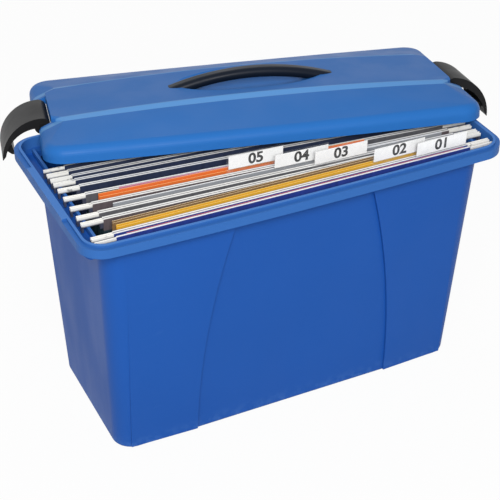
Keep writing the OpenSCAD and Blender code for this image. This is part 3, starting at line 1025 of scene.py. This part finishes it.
@dataclass
class FileRow(Assembly):
    """The ten hanging files, front to back.

    At each line the back rail of one file and the front rail of the next lie side by side,
    pair_half to either side of it.
    """

    files: int = 10
    loose: int = 3
    tabbed: int = 5
    # the colour of the painted highlight along the sleeves' crests
    crest: Colour = (0.72, 0.72, 0.70)
    sleeves: tuple[Colour, ...] = (
        (0.020, 0.040, 0.22),
        (0.10, 0.08, 0.085),
        (0.10, 0.10, 0.11),
        (0.10, 0.08, 0.085),
        (0.09, 0.09, 0.10),
        (0.020, 0.028, 0.060),
    )
    front_card: Colour = (0.008, 0.026, 0.034)
    rear_card: Colour = (0.008, 0.018, 0.060)
    sleeve_height: float = 0.2392
    crest_height: float = 0.2503
    pair_half: float = 0.00125
    lines: tuple[Line, ...] = (
        Line(-0.0902, -0.1),
        Line(-0.0822, -0.3),
        Line(-0.0624, -1.94),
        Line(-0.05375, -2.73),
        Line(-0.0406, -3.7),
        Line(-0.0264, -4.8),
        Line(-0.0117, -5.0),
        Line(0.0009, -4.6),
        Line(0.0103, -4.2),
        Line(0.0212, -3.8),
        Line(0.0334, -3.4),
    )

    CONTENTS: ClassVar[dict[int, dict[str, Leaf]]] = {
        1: {"red_sheet": Finishes.RED},
        2: {
            "yellow_folder": Finishes.YELLOW,
            "yellow_papers": Finishes.WHITE,
            "manila_folder": Finishes.MANILA,
            "manila_papers": Finishes.WHITE,
        },
        4: {"grey_papers": Finishes.GREY},
        5: {
            "orange_folder": Finishes.ORANGE,
            "orange_papers": Finishes.WHITE,
            "pink_sheet": Finishes.PINK,
        },
    }

    def pocket(self, number: int) -> Board:
        """The card of one file's pocket.

        Args:
            number: the file's number, from the front.

        Returns:
            Its finish, with a crest over each of its two rails.
        """
        front, back = self.lines[number - 1 : number + 1]
        return Board(
            f"pocket_card_{number:02d}",
            colour=self.front_card if number <= self.tabbed else self.rear_card,
            sleeve=self.sleeves[min(number, len(self.sleeves)) - 1],
            crest=self.crest,
            sleeve_height=self.sleeve_height,
            crest_height=self.crest_height,
            crests=(front.moved(self.pair_half), back.moved(-self.pair_half)),
        )

    def dress(self) -> list[str]:
        """Dresses every file of the row.

        Returns:
            The names of what was dressed.
        """
        done: list[str] = []
        for number in range(1, self.files + 1):
            file = HangingFile(
                self.finishes,
                self.nodes,
                number=f"{number:02d}",
                body=f"file_{number:02d}" if number <= self.loose else "box",
                pocket=self.pocket(number),
                tabbed=number <= self.tabbed,
                papers=self.CONTENTS.get(number, {}),
            )
            done += file.dress()
        return done


# ------------------------------------------------------------------ studio


def turned(back: Vector) -> Quaternion:
    """The turn that points a camera or a lamp against a direction."""
    return (-back).to_track_quat("-Z", "Y")


@dataclass(frozen=True)
class SoftBox:
    """A soft lamp that faces the object, its power in watts."""

    name: str
    place: Triple
    size: tuple[float, float]
    power: float
    aim: Triple = (0.0, 0.05, 0.2)

    def hang(self) -> None:
        """Hangs the lamp in the scene."""
        data = bpy.data.lights.new(self.name, "AREA")
        data.shape = "RECTANGLE"
        data.size, data.size_y = self.size
        data.energy = self.power
        lamp = enter(self.name, data)
        lamp.location = self.place
        lamp.rotation_mode = "QUATERNION"
        lamp.rotation_quaternion = turned(Vector(self.place) - Vector(self.aim))


@dataclass
class Studio:
    """The pale floor, the soft lights and the camera. Angles are in degrees.

    The focal length is told in pixels of the photograph, which is frame_pixels wide.
    """

    target: Triple = (-0.00836, 0.0, 0.13407)
    azimuth: float = -25.94
    elevation: float = 34.19
    roll: float = 0.18
    distance: float = 1.3776
    focal_pixels: float = 1393.9
    frame_pixels: float = 500.0
    sensor_width: float = 36.0
    clip: Span = (0.05, 50.0)
    white: Colour = (1.0, 1.0, 1.0)
    white_level: float = 1.0
    world_level: float = 0.36
    floor_half: float = 4.0
    floor_tone: Pattern = Pattern(0.5, 1.0)
    floor_shades: tuple[Colour, Colour] = ((0.60, 0.60, 0.60), (0.62, 0.62, 0.62))
    floor_roughness: float = 0.9
    floor_specular: float = 0.1
    floor_glow: float = 0.95
    lamps: tuple[SoftBox, ...] = (
        SoftBox("key_box", (-0.75, -1.55, 1.5), (1.2, 0.8), 57.0),
        SoftBox("back_strip", (0.25, 1.5, 1.35), (1.6, 0.35), 5.0),
    )

    def camera(self) -> None:
        """Places the camera at the photograph's angle."""
        data = bpy.data.cameras.new("camera")
        data.sensor_width = self.sensor_width
        data.lens = self.focal_pixels * self.sensor_width / self.frame_pixels
        data.clip_start, data.clip_end = self.clip
        camera = enter("camera", data)
        turn, lift = math.radians(self.azimuth), math.radians(self.elevation)
        back = Vector(
            (math.sin(turn) * math.cos(lift), -math.cos(turn) * math.cos(lift), math.sin(lift))
        )
        spin = Matrix.Rotation(math.radians(self.roll), 3, "Z").to_quaternion()
        camera.rotation_mode = "QUATERNION"
        camera.rotation_quaternion = turned(back) @ spin
        camera.location = Vector(self.target) + back * self.distance
        bpy.context.scene.camera = camera

    def floor(self) -> None:
        """Lays the floor, which looks nearly white and still keeps the object's shadow."""
        half = self.floor_half
        mesh = bpy.data.meshes.new("floor")
        shape = bmesh.new()
        corners = ((-half, -half), (half, -half), (half, half), (-half, half))
        shape.faces.new([shape.verts.new((x, y, 0.0)) for x, y in corners])
        shape.to_mesh(mesh)
        shape.free()
        floor = enter("floor", mesh)
        paint = Paint("floor_white")
        matt = paint.add(
            "ShaderNodeBsdfPrincipled",
            {},
            {
                "Base Color": paint.blend(*self.floor_shades, paint.noise(self.floor_tone)),
                "Roughness": self.floor_roughness,
                "Specular IOR Level": self.floor_specular,
            },
        )
        glow = paint.add("ShaderNodeEmission", {}, {"Strength": self.white_level})
        mix = paint.add(
            "ShaderNodeMixShader",
            {},
            {0: paint.seen() * self.floor_glow, 1: matt.outputs[0], 2: glow.outputs[0]},
        )
        mesh.materials.append(paint.close(mix.outputs[0]))

    def world(self) -> None:
        """Lights the scene evenly, and shows white to the camera and to mirrors."""
        world = bpy.data.worlds.new("studio")
        bpy.context.scene.world = world
        world.use_nodes = True
        tree = Tree(world.node_tree)
        light, backdrop = (
            tree.add("ShaderNodeBackground", {}, {"Color": (*self.white, 1.0), "Strength": level})
            for level in (self.world_level, self.white_level)
        )
        mix = tree.add(
            "ShaderNodeMixShader",
            {},
            {0: tree.seen(), 1: light.outputs[0], 2: backdrop.outputs[0]},
        )
        tree.add("ShaderNodeOutputWorld", {}, {0: mix.outputs[0]})

    def build(self) -> None:
        """Builds the whole studio."""
        self.camera()
        self.floor()
        self.world()
        for lamp in self.lamps:
            lamp.hang()
        bpy.context.scene.view_settings.view_transform = "Standard"


def main() -> None:
    """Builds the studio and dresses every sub-assembly."""
    logging.basicConfig(level=logging.INFO, format="%(name)s: %(message)s")
    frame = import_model()
    nodes = frame["nodes"]
    finishes = Finishes()
    Studio().build()
    for assembly in (Carcass(finishes, nodes), Cover(finishes, nodes), FileRow(finishes, nodes)):
        for name in assembly.dress():
            LOG.info("dressed %s", name)


if __name__ == "__main__":
    main()
